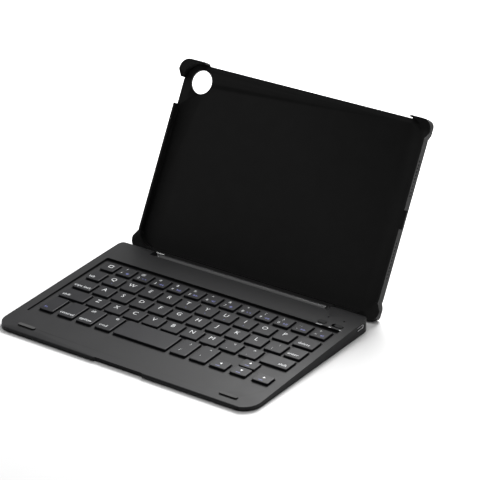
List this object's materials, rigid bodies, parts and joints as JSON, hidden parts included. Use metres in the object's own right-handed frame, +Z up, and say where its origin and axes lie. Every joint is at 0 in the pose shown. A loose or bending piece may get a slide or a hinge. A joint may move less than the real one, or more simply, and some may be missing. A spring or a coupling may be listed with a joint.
{
  "type": "tablet keyboard case",
  "caption": "Wedge-shaped wireless keyboard with a hinged plastic back shell that clips onto a small tablet, standing open like a laptop",
  "frame": {"origin": "centre of the open case's footprint, on the table", "axes": "+X to the typist's right, +Y from the typist towards the hinge, +Z up"},
  "size_m": [0.2052, 0.2214, 0.1269],
  "materials": {
    "housing_black_abs": "fine matt grain",
    "cover_black_abs": "matt",
    "keycap_dark_grey": "matt",
    "shell_black_polycarbonate": "satin",
    "barrel_gloss_black": "semi-gloss",
    "rubber_black": "matt",
    "hinge_steel": "ground",
    "port_steel": "plated",
    "circuit_board_green": "satin",
    "battery_foil": "foil pouch",
    "membrane_film": "clear film",
    "light_pipe_clear": "clear"
  },
  "bodies": {
    "keyboard_base": {"top_housing": "housing_black_abs", "bottom_cover": "cover_black_abs", "switch_membrane": "membrane_film", "circuit_board": "circuit_board_green", "battery_cell": "battery_foil", "charging_port": "port_steel", "status_light_pipe": "light_pipe_clear", "left_bumper_pad": "rubber_black", "right_bumper_pad": "rubber_black", "front_foot_strip": "rubber_black", "rear_foot_strip": "rubber_black", "hinge_rod": "hinge_steel"},
    "shell": {"back_shell": "shell_black_polycarbonate", "hinge_barrel": "barrel_gloss_black"},
    "connect_button": {"connect_button": "cover_black_abs"},
    "power_switch": {"power_switch": "cover_black_abs"},
    "number_row": {"number_row_keycaps": "keycap_dark_grey"},
    "arrow_cluster": {"arrow_keycaps": "keycap_dark_grey"},
    "key_a": {"key_a": "keycap_dark_grey"},
    "key_b": {"key_b": "keycap_dark_grey"},
    "key_c": {"key_c": "keycap_dark_grey"},
    "key_caps_lock": {"key_caps_lock": "keycap_dark_grey"},
    "key_comma": {"key_comma": "keycap_dark_grey"},
    "key_command": {"key_command": "keycap_dark_grey"},
    "key_control": {"key_control": "keycap_dark_grey"},
    "key_d": {"key_d": "keycap_dark_grey"},
    "key_delete": {"key_delete": "keycap_dark_grey"},
    "key_e": {"key_e": "keycap_dark_grey"},
    "key_enter": {"key_enter": "keycap_dark_grey"},
    "key_f": {"key_f": "keycap_dark_grey"},
    "key_fn": {"key_fn": "keycap_dark_grey"},
    "key_full_stop": {"key_full_stop": "keycap_dark_grey"},
    "key_g": {"key_g": "keycap_dark_grey"},
    "key_h": {"key_h": "keycap_dark_grey"},
    "key_i": {"key_i": "keycap_dark_grey"},
    "key_j": {"key_j": "keycap_dark_grey"},
    "key_k": {"key_k": "keycap_dark_grey"},
    "key_l": {"key_l": "keycap_dark_grey"},
    "key_left_shift": {"key_left_shift": "keycap_dark_grey"},
    "key_m": {"key_m": "keycap_dark_grey"},
    "key_n": {"key_n": "keycap_dark_grey"},
    "key_o": {"key_o": "keycap_dark_grey"},
    "key_option": {"key_option": "keycap_dark_grey"},
    "key_p": {"key_p": "keycap_dark_grey"},
    "key_q": {"key_q": "keycap_dark_grey"},
    "key_quote": {"key_quote": "keycap_dark_grey"},
    "key_r": {"key_r": "keycap_dark_grey"},
    "key_right_shift": {"key_right_shift": "keycap_dark_grey"},
    "key_s": {"key_s": "keycap_dark_grey"},
    "key_semicolon": {"key_semicolon": "keycap_dark_grey"},
    "key_slash": {"key_slash": "keycap_dark_grey"},
    "key_space": {"key_space": "keycap_dark_grey"},
    "key_t": {"key_t": "keycap_dark_grey"},
    "key_tab": {"key_tab": "keycap_dark_grey"},
    "key_u": {"key_u": "keycap_dark_grey"},
    "key_v": {"key_v": "keycap_dark_grey"},
    "key_w": {"key_w": "keycap_dark_grey"},
    "key_x": {"key_x": "keycap_dark_grey"},
    "key_y": {"key_y": "keycap_dark_grey"},
    "key_z": {"key_z": "keycap_dark_grey"}
  },
  "joints": [
    {"name": "shell_hinge", "type": "hinge", "parent": "keyboard_base", "child": "shell", "pos_m": [0, 0.0318, 0.0046], "axis": [1, 0, 0], "range_deg": [0, 120.6]},
    {"name": "connect_button_press", "type": "slide", "parent": "keyboard_base", "child": "connect_button", "axis": [0, 0.0458, -0.999], "range_m": [0, 0.0008], "stiffness_N_per_m": 600, "springref_m": -0.0005},
    {"name": "power_switch_slide", "type": "slide", "parent": "keyboard_base", "child": "power_switch", "axis": [-1, 0, 0], "range_m": [0, 0.002]},
    {"name": "number_row_press", "type": "slide", "parent": "keyboard_base", "child": "number_row", "axis": [0, 0.0378, -0.9993], "range_m": [0, 0.001], "stiffness_N_per_m": 350, "springref_m": -0.0004},
    {"name": "arrow_cluster_press", "type": "slide", "parent": "keyboard_base", "child": "arrow_cluster", "axis": [0, 0.0378, -0.9993], "range_m": [0, 0.001], "stiffness_N_per_m": 350, "springref_m": -0.0004},
    {"name": "key_a_press", "type": "slide", "parent": "keyboard_base", "child": "key_a", "axis": [0, 0.0378, -0.9993], "range_m": [0, 0.001], "stiffness_N_per_m": 350, "springref_m": -0.0004},
    {"name": "key_b_press", "type": "slide", "parent": "keyboard_base", "child": "key_b", "axis": [0, 0.0378, -0.9993], "range_m": [0, 0.001], "stiffness_N_per_m": 350, "springref_m": -0.0004},
    {"name": "key_c_press", "type": "slide", "parent": "keyboard_base", "child": "key_c", "axis": [0, 0.0378, -0.9993], "range_m": [0, 0.001], "stiffness_N_per_m": 350, "springref_m": -0.0004},
    {"name": "key_caps_lock_press", "type": "slide", "parent": "keyboard_base", "child": "key_caps_lock", "axis": [0, 0.0378, -0.9993], "range_m": [0, 0.001], "stiffness_N_per_m": 350, "springref_m": -0.0004},
    {"name": "key_comma_press", "type": "slide", "parent": "keyboard_base", "child": "key_comma", "axis": [0, 0.0378, -0.9993], "range_m": [0, 0.001], "stiffness_N_per_m": 350, "springref_m": -0.0004},
    {"name": "key_command_press", "type": "slide", "parent": "keyboard_base", "child": "key_command", "axis": [0, 0.0378, -0.9993], "range_m": [0, 0.001], "stiffness_N_per_m": 350, "springref_m": -0.0004},
    {"name": "key_control_press", "type": "slide", "parent": "keyboard_base", "child": "key_control", "axis": [0, 0.0378, -0.9993], "range_m": [0, 0.001], "stiffness_N_per_m": 350, "springref_m": -0.0004},
    {"name": "key_d_press", "type": "slide", "parent": "keyboard_base", "child": "key_d", "axis": [0, 0.0378, -0.9993], "range_m": [0, 0.001], "stiffness_N_per_m": 350, "springref_m": -0.0004},
    {"name": "key_delete_press", "type": "slide", "parent": "keyboard_base", "child": "key_delete", "axis": [0, 0.0378, -0.9993], "range_m": [0, 0.001], "stiffness_N_per_m": 350, "springref_m": -0.0004},
    {"name": "key_e_press", "type": "slide", "parent": "keyboard_base", "child": "key_e", "axis": [0, 0.0378, -0.9993], "range_m": [0, 0.001], "stiffness_N_per_m": 350, "springref_m": -0.0004},
    {"name": "key_enter_press", "type": "slide", "parent": "keyboard_base", "child": "key_enter", "axis": [0, 0.0378, -0.9993], "range_m": [0, 0.001], "stiffness_N_per_m": 350, "springref_m": -0.0004},
    {"name": "key_f_press", "type": "slide", "parent": "keyboard_base", "child": "key_f", "axis": [0, 0.0378, -0.9993], "range_m": [0, 0.001], "stiffness_N_per_m": 350, "springref_m": -0.0004},
    {"name": "key_fn_press", "type": "slide", "parent": "keyboard_base", "child": "key_fn", "axis": [0, 0.0378, -0.9993], "range_m": [0, 0.001], "stiffness_N_per_m": 350, "springref_m": -0.0004},
    {"name": "key_full_stop_press", "type": "slide", "parent": "keyboard_base", "child": "key_full_stop", "axis": [0, 0.0378, -0.9993], "range_m": [0, 0.001], "stiffness_N_per_m": 350, "springref_m": -0.0004},
    {"name": "key_g_press", "type": "slide", "parent": "keyboard_base", "child": "key_g", "axis": [0, 0.0378, -0.9993], "range_m": [0, 0.001], "stiffness_N_per_m": 350, "springref_m": -0.0004},
    {"name": "key_h_press", "type": "slide", "parent": "keyboard_base", "child": "key_h", "axis": [0, 0.0378, -0.9993], "range_m": [0, 0.001], "stiffness_N_per_m": 350, "springref_m": -0.0004},
    {"name": "key_i_press", "type": "slide", "parent": "keyboard_base", "child": "key_i", "axis": [0, 0.0378, -0.9993], "range_m": [0, 0.001], "stiffness_N_per_m": 350, "springref_m": -0.0004},
    {"name": "key_j_press", "type": "slide", "parent": "keyboard_base", "child": "key_j", "axis": [0, 0.0378, -0.9993], "range_m": [0, 0.001], "stiffness_N_per_m": 350, "springref_m": -0.0004},
    {"name": "key_k_press", "type": "slide", "parent": "keyboard_base", "child": "key_k", "axis": [0, 0.0378, -0.9993], "range_m": [0, 0.001], "stiffness_N_per_m": 350, "springref_m": -0.0004},
    {"name": "key_l_press", "type": "slide", "parent": "keyboard_base", "child": "key_l", "axis": [0, 0.0378, -0.9993], "range_m": [0, 0.001], "stiffness_N_per_m": 350, "springref_m": -0.0004},
    {"name": "key_left_shift_press", "type": "slide", "parent": "keyboard_base", "child": "key_left_shift", "axis": [0, 0.0378, -0.9993], "range_m": [0, 0.001], "stiffness_N_per_m": 350, "springref_m": -0.0004},
    {"name": "key_m_press", "type": "slide", "parent": "keyboard_base", "child": "key_m", "axis": [0, 0.0378, -0.9993], "range_m": [0, 0.001], "stiffness_N_per_m": 350, "springref_m": -0.0004},
    {"name": "key_n_press", "type": "slide", "parent": "keyboard_base", "child": "key_n", "axis": [0, 0.0378, -0.9993], "range_m": [0, 0.001], "stiffness_N_per_m": 350, "springref_m": -0.0004},
    {"name": "key_o_press", "type": "slide", "parent": "keyboard_base", "child": "key_o", "axis": [0, 0.0378, -0.9993], "range_m": [0, 0.001], "stiffness_N_per_m": 350, "springref_m": -0.0004},
    {"name": "key_option_press", "type": "slide", "parent": "keyboard_base", "child": "key_option", "axis": [0, 0.0378, -0.9993], "range_m": [0, 0.001], "stiffness_N_per_m": 350, "springref_m": -0.0004},
    {"name": "key_p_press", "type": "slide", "parent": "keyboard_base", "child": "key_p", "axis": [0, 0.0378, -0.9993], "range_m": [0, 0.001], "stiffness_N_per_m": 350, "springref_m": -0.0004},
    {"name": "key_q_press", "type": "slide", "parent": "keyboard_base", "child": "key_q", "axis": [0, 0.0378, -0.9993], "range_m": [0, 0.001], "stiffness_N_per_m": 350, "springref_m": -0.0004},
    {"name": "key_quote_press", "type": "slide", "parent": "keyboard_base", "child": "key_quote", "axis": [0, 0.0378, -0.9993], "range_m": [0, 0.001], "stiffness_N_per_m": 350, "springref_m": -0.0004},
    {"name": "key_r_press", "type": "slide", "parent": "keyboard_base", "child": "key_r", "axis": [0, 0.0378, -0.9993], "range_m": [0, 0.001], "stiffness_N_per_m": 350, "springref_m": -0.0004},
    {"name": "key_right_shift_press", "type": "slide", "parent": "keyboard_base", "child": "key_right_shift", "axis": [0, 0.0378, -0.9993], "range_m": [0, 0.001], "stiffness_N_per_m": 350, "springref_m": -0.0004},
    {"name": "key_s_press", "type": "slide", "parent": "keyboard_base", "child": "key_s", "axis": [0, 0.0378, -0.9993], "range_m": [0, 0.001], "stiffness_N_per_m": 350, "springref_m": -0.0004},
    {"name": "key_semicolon_press", "type": "slide", "parent": "keyboard_base", "child": "key_semicolon", "axis": [0, 0.0378, -0.9993], "range_m": [0, 0.001], "stiffness_N_per_m": 350, "springref_m": -0.0004},
    {"name": "key_slash_press", "type": "slide", "parent": "keyboard_base", "child": "key_slash", "axis": [0, 0.0378, -0.9993], "range_m": [0, 0.001], "stiffness_N_per_m": 350, "springref_m": -0.0004},
    {"name": "key_space_press", "type": "slide", "parent": "keyboard_base", "child": "key_space", "axis": [0, 0.0378, -0.9993], "range_m": [0, 0.001], "stiffness_N_per_m": 350, "springref_m": -0.0004},
    {"name": "key_t_press", "type": "slide", "parent": "keyboard_base", "child": "key_t", "axis": [0, 0.0378, -0.9993], "range_m": [0, 0.001], "stiffness_N_per_m": 350, "springref_m": -0.0004},
    {"name": "key_tab_press", "type": "slide", "parent": "keyboard_base", "child": "key_tab", "axis": [0, 0.0378, -0.9993], "range_m": [0, 0.001], "stiffness_N_per_m": 350, "springref_m": -0.0004},
    {"name": "key_u_press", "type": "slide", "parent": "keyboard_base", "child": "key_u", "axis": [0, 0.0378, -0.9993], "range_m": [0, 0.001], "stiffness_N_per_m": 350, "springref_m": -0.0004},
    {"name": "key_v_press", "type": "slide", "parent": "keyboard_base", "child": "key_v", "axis": [0, 0.0378, -0.9993], "range_m": [0, 0.001], "stiffness_N_per_m": 350, "springref_m": -0.0004},
    {"name": "key_w_press", "type": "slide", "parent": "keyboard_base", "child": "key_w", "axis": [0, 0.0378, -0.9993], "range_m": [0, 0.001], "stiffness_N_per_m": 350, "springref_m": -0.0004},
    {"name": "key_x_press", "type": "slide", "parent": "keyboard_base", "child": "key_x", "axis": [0, 0.0378, -0.9993], "range_m": [0, 0.001], "stiffness_N_per_m": 350, "springref_m": -0.0004},
    {"name": "key_y_press", "type": "slide", "parent": "keyboard_base", "child": "key_y", "axis": [0, 0.0378, -0.9993], "range_m": [0, 0.001], "stiffness_N_per_m": 350, "springref_m": -0.0004},
    {"name": "key_z_press", "type": "slide", "parent": "keyboard_base", "child": "key_z", "axis": [0, 0.0378, -0.9993], "range_m": [0, 0.001], "stiffness_N_per_m": 350, "springref_m": -0.0004}
  ]
}
